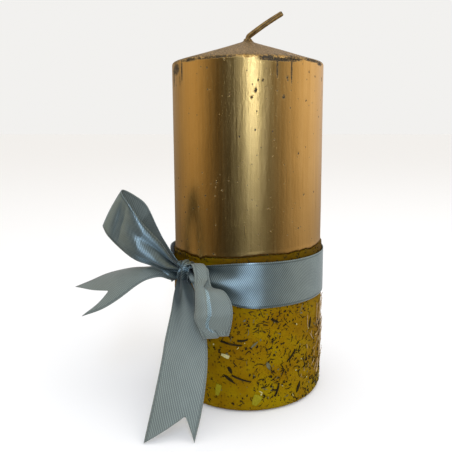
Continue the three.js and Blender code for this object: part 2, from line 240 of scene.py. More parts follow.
core_wax, core_shader = new_material("core_wax")
core_cloud = grain(core_wax, 90, 4)
feed(core_wax, core_shader,
     Base_Color=blend_colours(core_wax, core_cloud, [
         (0.3, (0.30, 0.24, 0.03)), (0.7, (0.40, 0.34, 0.06))]),
     Roughness=in_range(core_wax, grain(core_wax, 260), 0.3, 0.7, 0.42, 0.6),
     Normal=bump(core_wax, grain(core_wax, 700, 5), 0.15 * mm))
core_shader.inputs["Subsurface Weight"].default_value = 0.25
core_shader.inputs["Subsurface Radius"].default_value = (1.0, 0.7, 0.1)
core_shader.inputs["Subsurface Scale"].default_value = 2.5 * mm


def dress(node_name, material):
    """Gives a CAD node's object a finish."""
    node = frame["nodes"][node_name]
    node.data.materials.clear()
    node.data.materials.append(material)
    return node


dress("wax_pillar", core_wax)


# ------------------------------------------------------------------ wick sustainer
# A pressed tinplate foot with a short neck, crimped on the wick's lower end and set
# flush in the base, so the wick stands straight while the wax is poured.
tinplate, tin_shader = new_material("tinplate")
tin_scratch = grain(tinplate, 400, 4, stretch=(1, 6, 1))
feed(tinplate, tin_shader,
     Base_Color=blend_colours(tinplate, tin_scratch, [
         (0.3, (0.50, 0.50, 0.50)), (0.7, (0.68, 0.68, 0.67))]),
     Roughness=in_range(tinplate, tin_scratch, 0.3, 0.7, 0.28, 0.5),
     Normal=bump(tinplate, tin_scratch, 0.03 * mm))
tin_shader.inputs["Metallic"].default_value = 1.0
dress("wick_sustainer", tinplate)


# ------------------------------------------------------------------ gold coat
# A skin of gold wax paint brushed on up and down over the cone, the rim and the upper
# side. It has flaked at the rim, and stops below in a wavy, slightly raised lip.
coat_low, coat_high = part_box("gold_coat")
wick_low, wick_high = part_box("wick")
coat_radius = coat_high.x
coat_wall = 0.45 * mm
coat_around = 360
cone_tip = coat_high.z
cone_rise = 10.4 * mm
rim_height = cone_tip - cone_rise
rim_round = 1.3 * mm
wick_radius = wick_high.y
wick_hole = wick_radius + 0.25 * mm
lip_height = coat_low.z + 2.1 * mm
lip_slope = 1.7 * mm
lip_proud = 0.08 * mm


def lip_at(angle):
    """Height of the gold skin's lower lip at an angle from the front, in radians."""
    ripple = math.sin(5 * angle + 0.6) + 0.6 * math.sin(11 * angle)
    fine = noise.noise(Vector((9 * math.sin(angle), 9 * math.cos(angle), 3.1)))
    ragged = noise.noise(Vector((38 * math.sin(angle), 38 * math.cos(angle), 1.7)))
    drip = math.exp(-((math.degrees(angle) + 36) / 2.2) ** 2)
    return (lip_height + lip_slope * math.sin(angle)
            + 0.3 * mm * ripple + 0.35 * mm * fine + 0.3 * mm * ragged - 1.0 * mm * drip)


def lathe(profile, steps):
    """Spins a closed profile of (radius, height) points round Z, and merges the seam."""
    form = bmesh.new()
    chain = [form.verts.new((radius, 0, height)) for radius, height in profile]
    for first, second in zip(chain, chain[1:]):
        form.edges.new((first, second))
    form.edges.new((chain[-1], chain[0]))
    bmesh.ops.spin(form, geom=form.verts[:] + form.edges[:], axis=(0, 0, 1), cent=(0, 0, 0),
                   angle=2 * math.pi, steps=steps, use_merge=True)
    bmesh.ops.remove_doubles(form, verts=form.verts[:], dist=1e-7)
    bmesh.ops.recalc_face_normals(form, faces=form.faces[:])
    return form


def finished(form, name, materials, body):
    """Turns a bmesh into a smooth piece of the object that rides on a body."""
    mesh = bpy.data.meshes.new(name)
    form.to_mesh(mesh)
    form.free()
    piece = bpy.data.objects.new(name, mesh)
    bpy.context.scene.collection.objects.link(piece)
    for material in materials:
        mesh.materials.append(material)
    mesh.shade_smooth()
    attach(piece, body)
    return piece


def angle_of(point):
    """Angle round the candle from its front, in radians, positive towards +X."""
    return math.atan2(point.x, -point.y)


def stretch_between(low, high, count):
    """Evenly spaced values from low to high."""
    return [low + (high - low) * i / count for i in range(count + 1)]


coat_profile = [(coat_radius, height) for height in
                stretch_between(lip_height, rim_height - 12 * mm, 84)]
coat_profile += [(coat_radius, height) for height in
                 stretch_between(rim_height - 12 * mm, rim_height - rim_round, 26)[1:]]
for turn in stretch_between(0, math.radians(72), 5)[1:]:
    coat_profile.append((coat_radius - rim_round + rim_round * math.cos(turn),
                         rim_height - rim_round + rim_round * math.sin(turn)))
cone_start = coat_profile[-1]
for share in stretch_between(0, 1, 26)[1:]:
    coat_profile.append((cone_start[0] + (wick_hole - cone_start[0]) * share,
                         cone_start[1] + (cone_tip - cone_start[1]) * share))
coat_profile += [(wick_hole, cone_tip - coat_wall),
                 (cone_start[0] - coat_wall, cone_start[1] - coat_wall * 1.2),
                 (coat_radius - coat_wall, rim_height - rim_round - coat_wall),
                 (coat_radius - coat_wall, lip_height)]
coat = lathe(coat_profile, coat_around)

# Flaked places: angle from the front in degrees, depth below the rim in mm, half width
# and half height in mm, and how bare the place is.
coat_flakes = [
    (20, 5.4, 0.4, 4.6, 0.9), (31, 6.4, 0.4, 5.6, 0.85), (27.5, 9, 0.8, 0.9, 0.6),
    (22, 2.0, 9.0, 0.7, 1.0), (13, 1.3, 3.0, 0.6, 0.9), (33, 1.5, 4.0, 0.8, 0.9),
    (-64, 4.0, 3.6, 2.4, 0.95), (-54, 5.4, 0.6, 5.0, 0.9), (-70, 7, 1.0, 5, 0.8),
    (-45, 1.3, 4.0, 0.6, 0.9), (64, 1.7, 3.0, 0.9, 0.9), (-18, 1.0, 5, 0.45, 0.8),
    (10, 10.5, 0.4, 0.8, 0.8), (5.2, 14.5, 0.55, 0.9, 1.0), (2.6, 17.4, 0.55, 0.6, 1.0),
    (-12, 16, 0.35, 0.8, 0.8), (12.5, 13, 0.35, 0.4, 0.9), (25, 16.8, 0.75, 0.7, 1.0),
    (45, 18.2, 0.6, 0.45, 0.9), (48, 6, 0.4, 0.6, 0.8), (56, 7.5, 0.45, 0.5, 0.8),
    (70, 8, 0.6, 0.9, 0.9), (74, 14, 0.4, 1.5, 0.8), (-57, 9, 0.35, 2.6, 0.8),
    (-30, 1.2, 5, 0.5, 0.7), (52, 1.2, 5, 0.6, 0.8), (112, 3, 6, 1.2, 0.9),
    (160, 8, 0.6, 7, 0.7), (-120, 2.4, 8, 1.0, 0.9), (-160, 12, 0.8, 1.0, 0.8),
    (140, 22, 0.7, 0.9, 0.8), (-95, 9, 0.5, 5.0, 0.7), (17, 31, 0.35, 0.7, 0.8),
    (38, 40, 0.3, 0.6, 0.8), (-22, 52, 0.3, 1.0, 0.7), (44, 58, 0.5, 0.5, 0.8),
]
# Dents pressed in the skin: angle, height in mm, half width, half height and depth in mm.
coat_dents = [(-37, 79, 0.5, 1.9, 0.16), (-35.6, 76.5, 0.9, 0.7, 0.12), (35, 113, 0.6, 2.0, 0.08),
              (-150, 104, 1.2, 1.6, 0.15), (95, 92, 0.9, 1.8, 0.15), (176, 120, 1.8, 1.2, 0.15)]

bare = coat.verts.layers.float.new("bare")
for vertex in coat.verts:
    spot = vertex.co
    radius = math.hypot(spot.x, spot.y)
    angle = angle_of(spot)
    below_rim = (rim_height - spot.z) / mm
    worn = 0.0
    for flake_angle, flake_depth, half_width, half_height, strength in coat_flakes:
        across = math.remainder(angle - math.radians(flake_angle), math.tau) * radius / mm
        reach = (across / half_width) ** 2 + ((below_rim - flake_depth) / half_height) ** 2
        worn = max(worn, strength * math.exp(-reach))
    vertex[bare] = worn
    if radius > coat_radius - 0.1 * mm and spot.z < rim_height - rim_round + 0.1 * mm:
        swell = noise.noise(spot * 45) * 0.05 * mm + noise.noise(spot * 210) * 0.012 * mm
        dent = 0.0
        for dent_angle, dent_height, half_width, half_height, depth_mm in coat_dents:
            across = math.remainder(angle - math.radians(dent_angle), math.tau) * radius / mm
            reach = (across / half_width) ** 2 + ((spot.z / mm - dent_height) / half_height) ** 2
            dent += depth_mm * mm * math.exp(-reach)
        above_lip = (spot.z - lip_height) / mm
        roll = lip_proud * math.exp(-((above_lip - 0.7) / 0.6) ** 2)
        radial = 1 + (swell - dent - 0.05 * mm * worn + roll) / radius
        vertex.co.x *= radial
        vertex.co.y *= radial
        if above_lip < 12:
            vertex.co.z += (lip_at(angle) - lip_height) * (1 - max(0, above_lip) / 12)
    elif radius > coat_radius - 0.6 * mm and spot.z < lip_height + 0.1 * mm:
        vertex.co.z += lip_at(angle) - lip_height + 0.12 * mm
    elif spot.z > rim_height - rim_round - 0.2 * mm and radius > wick_hole + 0.2 * mm:
        chip = max(0.0, noise.noise(spot * 640) - 0.05) * 1.7 * mm
        near_rim = math.exp(-((radius - coat_radius) / (1.6 * mm)) ** 2)
        wave = noise.noise(spot * 70) * 0.25 * mm
        vertex.co.z += wave * min(1, (coat_radius - radius) / (6 * mm) + 0.2) - chip * near_rim

gold, gold_shader = new_material("gold_wax")
brushed = grain(gold, 1.0, 4, 0.6, stretch=(1150, 1150, 26))
broad_brush = grain(gold, 1.0, 3, 0.5, stretch=(260, 260, 9))
cloud = grain(gold, 60, 3)
sparkle = add_node(gold, "TexVoronoi", {
    "Vector": object_position(gold), "Scale": 2600.0}, feature="F1").outputs["Color"]
tone = math_node(gold, "ADD", math_node(gold, "MULTIPLY", brushed, 0.45),
                 math_node(gold, "ADD", math_node(gold, "MULTIPLY", broad_brush, 0.35),
                           math_node(gold, "MULTIPLY", cloud, 0.2)))
leaf_colour = blend_colours(gold, tone, [
    (0.30, (0.53, 0.325, 0.100)), (0.48, (0.62, 0.39, 0.130)), (0.66, (0.70, 0.46, 0.17))])
height_up = add_node(gold, "SeparateXYZ", {"Vector": object_position(gold)}).outputs["Z"]
rim_zone = in_range(gold, height_up, rim_height - 1.8 * mm, rim_height - 0.1 * mm)
worn_here = add_node(gold, "Attribute", attribute_name="bare").outputs["Fac"]
crumbs = grain(gold, 2600, 6, 0.7)
scratches = grain(gold, 1.0, 5, 0.6, stretch=(2600, 2600, 120))
flaked = math_node(gold, "ADD", worn_here, math_node(gold, "MULTIPLY", rim_zone, 0.40))
flaked = math_node(gold, "MULTIPLY", flaked, in_range(gold, crumbs, 0.38, 0.60, 0.3, 1.9))
flaked = in_range(gold, flaked, 0.34, 0.52)
pits = in_range(gold, add_node(gold, "TexVoronoi", {
    "Vector": object_position(gold, (1, 1, 0.8)), "Scale": 230.0},
    feature="F1").outputs["Distance"], 0.06, 0.10, 1.0, 0.0)
speck_cells = add_node(gold, "TexVoronoi", {
    "Vector": object_position(gold, (1, 1, 0.7)), "Scale": 520.0}, feature="F1").outputs
speck_chosen = math_node(gold, "GREATER_THAN", add_node(
    gold, "SeparateColor", {"Color": speck_cells["Color"]}).outputs[0], 0.80)
specks = in_range(gold, speck_cells["Distance"], 0.08, 0.15, 0.9, 0.0)
pits = math_node(gold, "MAXIMUM", pits, math_node(gold, "MULTIPLY", specks, speck_chosen))
flaked = math_node(gold, "MAXIMUM", flaked, pits)
bare_wax = blend_colours(gold, crumbs, [(0.35, (0.010, 0.007, 0.001)), (0.7, (0.050, 0.032, 0.008))])
wrinkles = grain(gold, 1.0, 4, 0.6, stretch=(850, 850, 240))
relief = math_node(gold, "ADD", math_node(gold, "MULTIPLY", wrinkles, 2.6),
                   math_node(gold, "MULTIPLY", scratches, 0.6))
relief = math_node(gold, "SUBTRACT", math_node(gold, "ADD", relief, brushed),
                   math_node(gold, "MULTIPLY", flaked, 2.6))
feed(gold, gold_shader,
     Base_Color=mix_colours(gold, flaked, leaf_colour, bare_wax),
     Metallic=in_range(gold, flaked, 0.0, 1.0, 1.0, 0.0),
     Roughness=math_node(gold, "ADD", in_range(gold, brushed, 0.3, 0.7, 0.27, 0.35),
                         math_node(gold, "MULTIPLY", flaked, 0.3)),
     Normal=bump(gold, sparkle, 0.016 * mm, 1.0, under=bump(gold, relief, 0.026 * mm)))
gold_coat = finished(coat, "gold_coat_skin", [gold], "candle")
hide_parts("gold_coat")


# ------------------------------------------------------------------ herb wax sleeve
# An outer coat of olive wax poured round the lower half, with dried herbs stirred in. It
# is slightly clear, so the pieces near its face show as specks under a satin surface.
sleeve_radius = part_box("herb_wax_sleeve")[1].x
sleeve_wall = 1.2 * mm
base_round = 3.0 * mm
sleeve_top = lip_height - 0.25 * mm
sleeve_around = 300

sleeve_profile = [(sleeve_radius - base_round - 1.0 * mm, 0.0)]
for turn in stretch_between(-90, 0, 10):
    sleeve_profile.append((sleeve_radius - base_round + base_round * math.cos(math.radians(turn)),
                           base_round + base_round * math.sin(math.radians(turn))))
sleeve_profile += [(sleeve_radius, height) for height in
                   stretch_between(base_round, sleeve_top - 0.8 * mm, 78)[1:]]
sleeve_profile += [(sleeve_radius - 0.12 * mm, sleeve_top - 0.3 * mm),
                   (sleeve_radius - 0.45 * mm, sleeve_top),
                   (sleeve_radius - sleeve_wall, sleeve_top),
                   (sleeve_radius - sleeve_wall, base_round + 1 * mm),
                   (sleeve_radius - base_round - 1.0 * mm, 1.4 * mm)]
sleeve = lathe(sleeve_profile, sleeve_around)
for vertex in sleeve.verts:
    spot = vertex.co
    radius = math.hypot(spot.x, spot.y)
    if radius > sleeve_radius - 0.9 * mm and spot.z > 1.0 * mm:
        lumps = noise.noise(spot * 130) * 0.07 * mm + noise.noise(spot * 480) * 0.05 * mm
        swell = noise.noise(spot * 30) * 0.12 * mm
        radial = 1 + (lumps + swell - 0.10 * mm) / radius
        vertex.co.x *= radial
        vertex.co.y *= radial
    if spot.z > sleeve_top - 6 * mm:
        share = (spot.z - (sleeve_top - 6 * mm)) / (6 * mm)
        vertex.co.z += (lip_at(angle_of(spot)) - lip_height) * share

herb_wax, herb_shader = new_material("herb_wax")
wax_cloud = grain(herb_wax, 75, 4, 0.55)
wax_fine = grain(herb_wax, 900, 4, 0.6)
herb_height = add_node(herb_wax, "SeparateXYZ", {"Vector": object_position(herb_wax)}).outputs["Z"]
# Painted light: the wax colour is made lighter over its lowest 20 mm, fading upward.
painted_light_foot = in_range(herb_wax, herb_height, 1 * mm, 20 * mm, 0.12, 0.0)
wax_tone = math_node(herb_wax, "ADD", wax_cloud, painted_light_foot)
wax_colour = blend_colours(herb_wax, wax_tone, [
    (0.34, (0.162, 0.080, 0.0)), (0.52, (0.188, 0.103, 0.0)), (0.74, (0.218, 0.145, 0.0))])
shaded_top = in_range(herb_wax, herb_height, sleeve_top - 4.5 * mm, sleeve_top - 2.5 * mm, 1.0, 0.45)
wax_colour = mix_colours(herb_wax, 1.0, wax_colour, shaded_top, "MULTIPLY")
sunk = None
for crumb_scale, crumb_size, crumb_depth in ((700, 0.16, 0.85), (330, 0.11, 0.6), (1300, 0.2, 0.5)):
    cells = add_node(herb_wax, "TexVoronoi", {
        "Vector": object_position(herb_wax, (1, 1, 0.8)), "Scale": crumb_scale}, feature="F1")
    chosen = math_node(herb_wax, "GREATER_THAN", add_node(
        herb_wax, "SeparateColor", {"Color": cells.outputs["Color"]}).outputs[0], 0.72)
    dot = in_range(herb_wax, cells.outputs["Distance"], crumb_size, crumb_size * 2.2, 1.0, 0.0)
    dot = math_node(herb_wax, "MULTIPLY", math_node(herb_wax, "MULTIPLY", dot, chosen), crumb_depth)
    sunk = dot if sunk is None else math_node(herb_wax, "MAXIMUM", sunk, dot)
sunk_colour = (0.045, 0.026, 0.002, 1)
feed(herb_wax, herb_shader,
     Base_Color=mix_colours(herb_wax, sunk, wax_colour, sunk_colour),
     Roughness=in_range(herb_wax, wax_fine, 0.3, 0.7, 0.42, 0.56),
     Normal=bump(herb_wax, wax_fine, 0.05 * mm, 1.0,
                 under=bump(herb_wax, sunk, 0.06 * mm)))
herb_shader.inputs["Specular IOR Level"].default_value = 0.03
herb_shader.inputs["Subsurface Weight"].default_value = 0.15
herb_shader.inputs["Subsurface Radius"].default_value = (1.0, 0.75, 0.08)
herb_shader.inputs["Subsurface Scale"].default_value = 1.6 * mm
herb_sleeve = finished(sleeve, "herb_wax_skin", [herb_wax], "candle")
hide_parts("herb_wax_sleeve")


# ------------------------------------------------------------------ pressed herbs
# The larger leaves, needles, stems and petals, pressed into the sleeve while it was warm.
# Each is the part's own solid; the finishes give it fibres, mottling and a film of wax.
herb_gloss = 0.1


def dried(name, stops, roughness):
    """A dry plant finish with fibres, mottling and a little wax over it."""
    material, shader = new_material(name)
    fibres = grain(material, 1.0, 5, 0.6, stretch=(2400, 2400, 900))
    feed(material, shader,
         Base_Color=blend_colours(material, fibres, stops),
         Roughness=in_range(material, fibres, 0.3, 0.7, roughness, roughness + 0.2),
         Normal=bump(material, fibres, 0.08 * mm))
    shader.inputs["Specular IOR Level"].default_value = herb_gloss
    shader.inputs["Coat Weight"].default_value = herb_gloss
    shader.inputs["Coat Roughness"].default_value = 0.35
    return material


dark_herb = dried("dark_herb", [(0.3, (0.005, 0.004, 0.001)), (0.7, (0.028, 0.018, 0.003))], 0.6)
grey_herb = dried("grey_herb", [(0.3, (0.045, 0.045, 0.020)), (0.7, (0.16, 0.15, 0.085))], 0.55)
straw = dried("straw", [(0.3, (0.22, 0.13, 0.045)), (0.7, (0.52, 0.37, 0.18))], 0.5)
petal = dried("petal", [(0.3, (0.34, 0.30, 0.10)), (0.7, (0.52, 0.47, 0.24))], 0.4)
waxed_petal = dried("waxed_petal", [(0.3, (0.185, 0.145, 0.0)), (0.7, (0.25, 0.22, 0.004))], 0.4)
pressed_finish = {"dark_herb": dark_herb, "grey_herb": grey_herb, "straw": straw, "petal": petal}
sunk_petals = ("petal_yellow", "petal_pale_left")
for subpart in frame["record"]["subparts"]:
    if subpart["node"] in sunk_petals:
        dress(subpart["node"], waxed_petal)
    elif subpart["material_slot"] in pressed_finish:
        dress(subpart["node"], pressed_finish[subpart["material_slot"]])


# ------------------------------------------------------------------ herb crumbs
# The fine part of the mix: hundreds of crumbs, slivers and curls of leaf, and bits of
# straw, pressed into the face of the sleeve's wax. They lie thickest on the right.
def sliver(length, width, thick, curl):
    """A closed, tapered sliver along X, bent sideways by its curl."""
    form = bmesh.new()
    bmesh.ops.create_cube(form, size=1.0)
    lengthwise = [edge for edge in form.edges
                  if abs(edge.verts[0].co.x - edge.verts[1].co.x) > 0.5]
    bmesh.ops.subdivide_edges(form, edges=lengthwise, cuts=2, use_grid_fill=True)
    for vertex in form.verts:
        along = vertex.co.x * 2
        taper = 1 - 0.75 * abs(along) ** 1.5
        vertex.co.y = vertex.co.y * width * taper + curl * length * (along * along - 0.4)
        vertex.co.z *= thick * (0.5 + 0.5 * taper)
        vertex.co.x *= length
    return form


def scatter(name, count, shapes, material, seed, where, proud, loose_end=0.0):
    """Lays copies of the shapes on the sleeve, each turned and placed by seeded chance.

    proud is how far out they lie, and one end of each stands up to loose_end further out.
    """
    chance = random.Random(seed)
    templates = []
    for shape in shapes:
        form = sliver(*shape)
        template = bpy.data.meshes.new(name + "_shape")
        form.to_mesh(template)
        form.free()
        templates.append(template)
    pile = bmesh.new()
    for _ in range(count):
        angle, height, turn = where(chance)
        size = chance.uniform(0.55, 1.3)
        kind = chance.randrange(len(shapes))
        template, half_length = templates[kind], shapes[kind][0] / 2
        raised = chance.uniform(0, loose_end)
        start = len(pile.verts)
        pile.from_mesh(template)
        pile.verts.ensure_lookup_table()
        cos_turn, sin_turn = math.cos(turn), math.sin(turn)
        lift = sleeve_radius + chance.uniform(*proud)
        for vertex in pile.verts[start:]:
            across = (vertex.co.x * cos_turn - vertex.co.y * sin_turn) * size
            upward = (vertex.co.x * sin_turn + vertex.co.y * cos_turn) * size
            here = angle + across / sleeve_radius
            radius = lift + vertex.co.z * size + raised * (0.5 + vertex.co.x / half_length / 2)
            vertex.co = (radius * math.sin(here), -radius * math.cos(here), height + upward)
    for template in templates:
        bpy.data.meshes.remove(template)
    piece = finished(pile, name, [material], "candle")
    piece.data.shade_flat()
    return piece


band_low, band_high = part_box("ribbon_band")
crumb_ceiling = band_low.z + 4 * mm


def anywhere(chance):
    """A place on the sleeve: thick towards the right and back, thin at the front left."""
    while True:
        angle = chance.uniform(-math.pi, math.pi)
        height = chance.uniform(2.2 * mm, crumb_ceiling)
        facing = 0.5 + 0.5 * math.cos(angle - math.radians(62))
        clump = 0.5 + noise.noise(Vector((angle * 2.2, height * 90, 4.0)))
        if chance.random() < (0.16 + 0.75 * facing) * max(0.1, clump) * 1.3:
            return angle, height, chance.uniform(0, math.pi)


def above_band(chance):
    """A place on the narrow strip of sleeve between the ribbon and the gold lip."""
    angle = chance.uniform(-math.pi, math.pi)
    low = band_high.z - 1 * mm
    return angle, chance.uniform(low, lip_at(angle) - 0.7 * mm), chance.uniform(0, math.pi)


def straw_side(chance):
    """A place in the drift of straw on the right side, mostly upright."""
    angle = math.radians(chance.gauss(80, 14))
    return angle, chance.uniform(12 * mm, crumb_ceiling - 9 * mm), chance.gauss(math.pi / 2, 0.55)


crumb_shapes = [(1.5 * mm, 0.40 * mm, 0.20 * mm, 0.06), (2.3 * mm, 0.34 * mm, 0.18 * mm, -0.10),
                (0.8 * mm, 0.58 * mm, 0.22 * mm, 0.0), (0.55 * mm, 0.48 * mm, 0.2 * mm, 0.1),
                (1.2 * mm, 0.7 * mm, 0.2 * mm, 0.15), (3.0 * mm, 0.30 * mm, 0.16 * mm, 0.12)]
straw_shapes = [(3.8 * mm, 0.32 * mm, 0.20 * mm, 0.02), (5.2 * mm, 0.28 * mm, 0.20 * mm, -0.03),
                (2.2 * mm, 0.40 * mm, 0.20 * mm, 0.01)]
scatter("herb_crumbs_dark", 1550, crumb_shapes, dark_herb, 11, anywhere,
        (-0.08 * mm, 0.05 * mm))
scatter("herb_crumbs_grey", 110, crumb_shapes, grey_herb, 12, anywhere,
        (-0.10 * mm, 0.05 * mm))
scatter("herb_crumbs_pale", 45, crumb_shapes[:3], petal, 13, anywhere,
        (-0.12 * mm, 0.0))
scatter("herb_crumbs_top", 170, crumb_shapes[:4], dark_herb, 14, above_band,
        (-0.16 * mm, -0.05 * mm))
scatter("straw_drift", 115, straw_shapes, straw, 15, straw_side,
        (-0.05 * mm, 0.25 * mm), loose_end=0.8 * mm)


# ------------------------------------------------------------------ wick
# A cotton wick of three strands, dipped in wax, runs from the sustainer's neck to its bent
# tip. A cuff of gold wax climbs it where it leaves the cone.
wick_foot = wick_low.z
wick_rise = cone_tip + 1.0 * mm
wick_elbow = 2.0 * mm
wick_bend = math.radians(57)
wick_straight = 17.9 * mm


def wick_point(share):
    """Centre of the wick: up the candle for share 0 to 1, then over its bend for 1 to 2."""
    if share < 1:
        return Vector((0, 0, wick_foot + (wick_rise - wick_foot) * share))
    reach = (share - 1) * (wick_elbow * wick_bend + wick_straight)
    turn = min(reach / wick_elbow, wick_bend)
    beyond = max(0, reach - wick_elbow * wick_bend)
    sag = 0.25 * mm * math.sin(math.pi * beyond / wick_straight)
    return Vector((wick_elbow * (1 - math.cos(turn)) + beyond * math.sin(wick_bend) - sag * 0.5,
                   0, wick_rise + wick_elbow * math.sin(turn) + beyond * math.cos(wick_bend) + sag))


def swept(centres, sides, radius_at):
    """A closed tube through a list of centres; radius_at(row, side angle) gives its face."""
    form = bmesh.new()
    rings = []
    side_axis = Vector((0, 1, 0))
    for row, centre in enumerate(centres):
        ahead = (centres[min(row + 1, len(centres) - 1)] - centres[max(row - 1, 0)]).normalized()
        up_axis = side_axis.cross(ahead).normalized()
        ring = []
        for side in range(sides):
            turn = math.tau * side / sides
            reach = radius_at(row, turn)
            ring.append(form.verts.new(
                centre + (side_axis * math.sin(turn) + up_axis * math.cos(turn)) * reach))
        rings.append(ring)
    for lower, upper in zip(rings, rings[1:]):
        for side in range(sides):
            beside = (side + 1) % sides
            form.faces.new((lower[side], lower[beside], upper[beside], upper[side]))
    form.faces.new(rings[0][::-1])
    form.faces.new(rings[-1])
    bmesh.ops.recalc_face_normals(form, faces=form.faces[:])
    return form


wick_rows = ([wick_point(i / 40) for i in range(40)]
             + [wick_point(1 + i / 150) for i in range(151)])
wick_length = [0.0]
for first, second in zip(wick_rows, wick_rows[1:]):
    wick_length.append(wick_length[-1] + (second - first).length)
strand_turn = 120 * mm
wick_sides = 36


def strands(row, turn):
    """Reach of the wick's face: three long strands laid side by side, frayed at the tip."""
    share = row / (len(wick_rows) - 1)
    twist = math.tau * wick_length[row] / strand_turn
    lobe = abs(math.cos(1.5 * (turn + twist) - 0.5))
    uneven = noise.noise(Vector((wick_length[row] * 700, math.sin(turn) * 2, math.cos(turn) * 2)))
    reach = wick_radius * (0.74 + 0.24 * lobe ** 0.7 + 0.02 * uneven)
    if share > 0.985:
        reach *= 0.85 + 0.2 * noise.noise(Vector((turn * 3, share * 40, 7)))
    return reach


wick_form = swept(wick_rows, wick_sides, strands)
# Painted shade: groove is 1 in the hollows between the strands, where the wick's colour is darkened
# as shade.
groove = wick_form.verts.layers.float.new("groove")
for index, vertex in enumerate(wick_form.verts):
    centre = wick_rows[index // wick_sides]
    vertex[groove] = 1 - min(1, max(0, ((vertex.co - centre).length / wick_radius - 0.76) / 0.12))

wick_cotton, wick_shader = new_material("wick_cotton")
fibre = grain(wick_cotton, 1.0, 5, 0.65, stretch=(2600, 2600, 1500))
waxed = grain(wick_cotton, 420, 4)
yarn = blend_colours(wick_cotton, math_node(
    wick_cotton, "ADD", math_node(wick_cotton, "MULTIPLY", fibre, 0.5),
    math_node(wick_cotton, "MULTIPLY", waxed, 0.5)), [
    (0.32, (0.10, 0.050, 0.010)), (0.50, (0.21, 0.118, 0.026)), (0.68, (0.42, 0.27, 0.085))])
# The hollows between the strands are painted dark as shade.
groove_shade_amount = add_node(wick_cotton, "Attribute", attribute_name="groove").outputs["Fac"]
painted_groove_shade = (0.030, 0.018, 0.005, 1)
feed(wick_cotton, wick_shader,
     Base_Color=mix_colours(wick_cotton, groove_shade_amount, yarn, painted_groove_shade),
     Roughness=in_range(wick_cotton, waxed, 0.3, 0.7, 0.35, 0.6),
     Normal=bump(wick_cotton, fibre, 0.12 * mm))
wick_shader.inputs["Metallic"].default_value = 0.5
wick = finished(wick_form, "wick_strands", [wick_cotton], "candle")
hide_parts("wick")

cuff_around = 60
cuff_profile = [(wick_radius * 0.7, cone_tip - 0.7 * mm), (3.0 * mm, cone_tip - 0.85 * mm),
                (2.5 * mm, cone_tip - 0.3 * mm), (2.0 * mm, cone_tip + 0.1 * mm),
                (1.75 * mm, cone_tip + 0.6 * mm), (1.4 * mm, cone_tip + 1.0 * mm),
                (wick_radius * 0.7, cone_tip + 1.1 * mm)]
cuff = lathe(cuff_profile, cuff_around)
for vertex in cuff.verts:
    if vertex.co.z > cone_tip - 0.5 * mm:
        crumble = noise.noise(vertex.co * 900)
        vertex.co.z += crumble * 0.55 * mm
        vertex.co.x *= 1 + 0.22 * crumble
        vertex.co.y *= 1 + 0.22 * crumble
finished(cuff, "wick_cuff", [gold], "candle")


# ------------------------------------------------------------------ ribbon band
# One length of 20 mm double-faced ribbon, satin outside and dull twill inside, with woven
# selvedges. This stretch goes round the candle and gathers into pleats at the knot.
ribbon_width = 20 * mm
ribbon_thick = 0.26 * mm
# The colour multiplied in where shade is painted into the ribbon's folds near the knot.
fold_shade = (0.20, 0.25, 0.27, 1)
knot_low, knot_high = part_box("ribbon_knot")
knot = (knot_low + knot_high) / 2
knot_angle = angle_of(knot)
knot_outward = Vector((math.sin(knot_angle), -math.cos(knot_angle), 0))
knot_sideways = Vector((math.cos(knot_angle), math.sin(knot_angle), 0))


def woven_place(material):
    """Place on the flat ribbon in metres: across from one selvedge, and along."""
    flat = add_node(material, "UVMap", uv_map="weave").outputs["UV"]
    apart = add_node(material, "SeparateXYZ", {"Vector": flat})
    return apart.outputs["X"], apart.outputs["Y"]


def ridges(material, across, along, pitch, slant):
    """Fine ridges at a pitch in metres, slanted by a slope of along over across."""
    run = math_node(material, "ADD", along, math_node(material, "MULTIPLY", across, slant))
    turns = math_node(material, "MULTIPLY", run, math.tau / pitch)
    return in_range(material, math_node(material, "SINE", turns, 0.0), -1, 1)


def ribbon_face(name, colours, pitch, slant, ridge_depth, roughness):
    """A woven face: slanted rows of yarn, beads along each selvedge, and slight unevenness, with
    shade painted into its colour where the fold attribute is set.
    """
    material, shader = new_material(name)
    across, along = woven_place(material)
    ridge = ridges(material, across, along, pitch, slant)
    cross = ridges(material, across, along, pitch * 0.40, -slant * 0.25)
    knuckles = math_node(material, "MULTIPLY", ridge, cross)
    weave = math_node(material, "ADD", math_node(material, "MULTIPLY", ridge, 0.5),
                      math_node(material, "MULTIPLY", knuckles, 0.5))
    from_edge = math_node(material, "MINIMUM", across,
                          math_node(material, "SUBTRACT", ribbon_width, across))
    selvedge = in_range(material, from_edge, 0.40 * mm, 0.60 * mm, 1.0, 0.0)
    groove = math_node(material, "MULTIPLY", in_range(material, from_edge, 0.85 * mm, 1.2 * mm, 1, 0),
                       math_node(material, "SUBTRACT", 1.0, selvedge))
    beads = in_range(material, ridges(material, across, along, 0.95 * mm, 0.3), 0, 1, 0.15, 0.55)
    weave = math_node(material, "MULTIPLY", weave, math_node(
        material, "SUBTRACT", 1.0, math_node(material, "MAXIMUM", selvedge, groove)))
    weave = math_node(material, "ADD", weave, math_node(
        material, "MULTIPLY", selvedge, beads))
    cloth = grain(material, 220, 3)
    tone = math_node(material, "ADD", math_node(material, "MULTIPLY", weave, 0.8),
                     math_node(material, "MULTIPLY", cloth, 0.25))
    # Painted shade: the fold attribute multiplies fold_shade into the colour, darkening the ribbon in
    # its folds near the knot.
    painted_shade_amount = add_node(material, "Attribute", attribute_name="fold").outputs["Fac"]
    feed(material, shader,
         Base_Color=mix_colours(material, painted_shade_amount, blend_colours(material, tone, colours),
                                fold_shade, "MULTIPLY"),
         Normal=bump(material, weave, ridge_depth),
         Roughness=in_range(material, weave, 0, 1, roughness + 0.08, roughness - 0.06),
         Tangent=add_node(material, "Tangent", direction_type="UV_MAP", uv_map="weave").outputs[0])
    return material, shader


